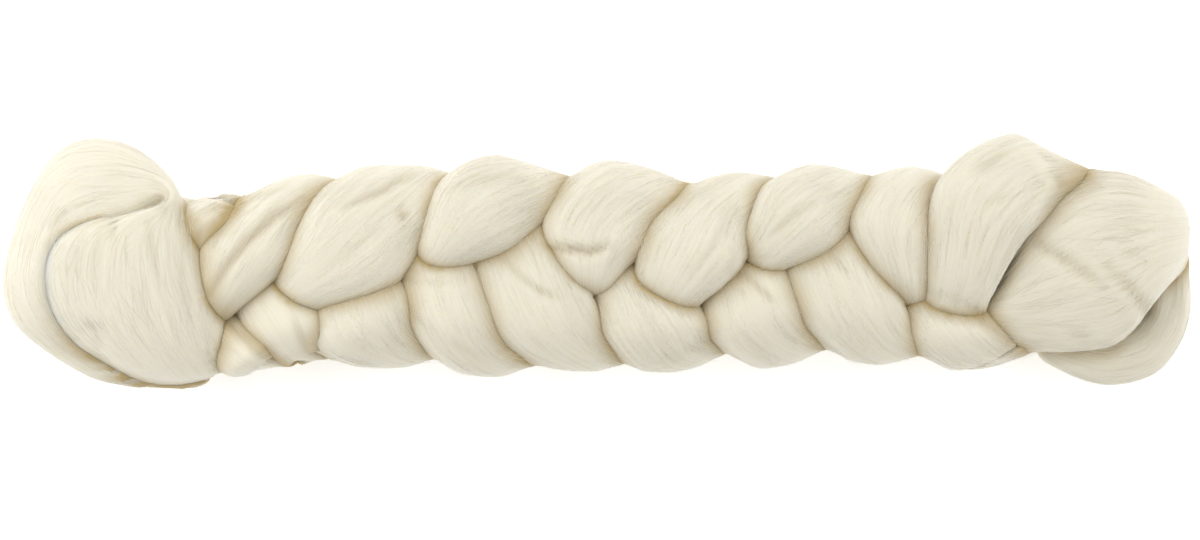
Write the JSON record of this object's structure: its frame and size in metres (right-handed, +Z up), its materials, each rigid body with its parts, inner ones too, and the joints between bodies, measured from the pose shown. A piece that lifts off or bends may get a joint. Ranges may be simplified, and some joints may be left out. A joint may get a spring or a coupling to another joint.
{
  "type": "braid of wool roving",
  "caption": "Plaited length of soft undyed wool sliver, lying flat, with a wrapped loop at one end and a broad folded end with a curl at the other.",
  "frame": {"origin": "middle of the braid's footprint, on the surface it rests on", "axes": "+X along the braid from the wrapped loop to the broad end, +Y across it, +Z up out of its front"},
  "size_m": [0.3818, 0.081, 0.0456],
  "materials": {
    "wool": "soft matt combed wool, cream, warmer in the creases"
  },
  "bodies": {
    "root": {"braid": "wool"}
  },
  "joints": []
}
